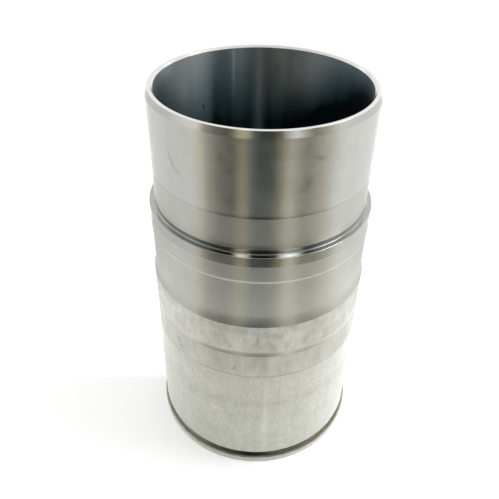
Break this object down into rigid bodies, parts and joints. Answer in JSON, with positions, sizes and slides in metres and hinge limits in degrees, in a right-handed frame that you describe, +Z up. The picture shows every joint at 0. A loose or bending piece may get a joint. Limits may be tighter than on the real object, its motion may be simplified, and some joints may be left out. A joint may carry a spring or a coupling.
{
  "type": "cylinder liner",
  "caption": "Open-ended thin-walled wet cylinder sleeve with a honed bore, a stepped outside, a ground seat ledge and a thin flange at its foot.",
  "frame": {"origin": "centre of the foot ring on the bore axis, on the surface the liner stands on (the flanged head end is the foot)", "axes": "+Z up along the bore axis, from the flanged head end to the plain skirt end; +X and +Y are free, because the liner is round"},
  "size_m": [0.1484, 0.1484, 0.2622],
  "materials": {
    "liner_iron": "turned and ground grey iron; the guide, seat and collar are ground bright, the body is dull, and the bore is plateau-honed"
  },
  "bodies": {
    "root": {"cylinder_liner": "liner_iron"}
  },
  "joints": []
}
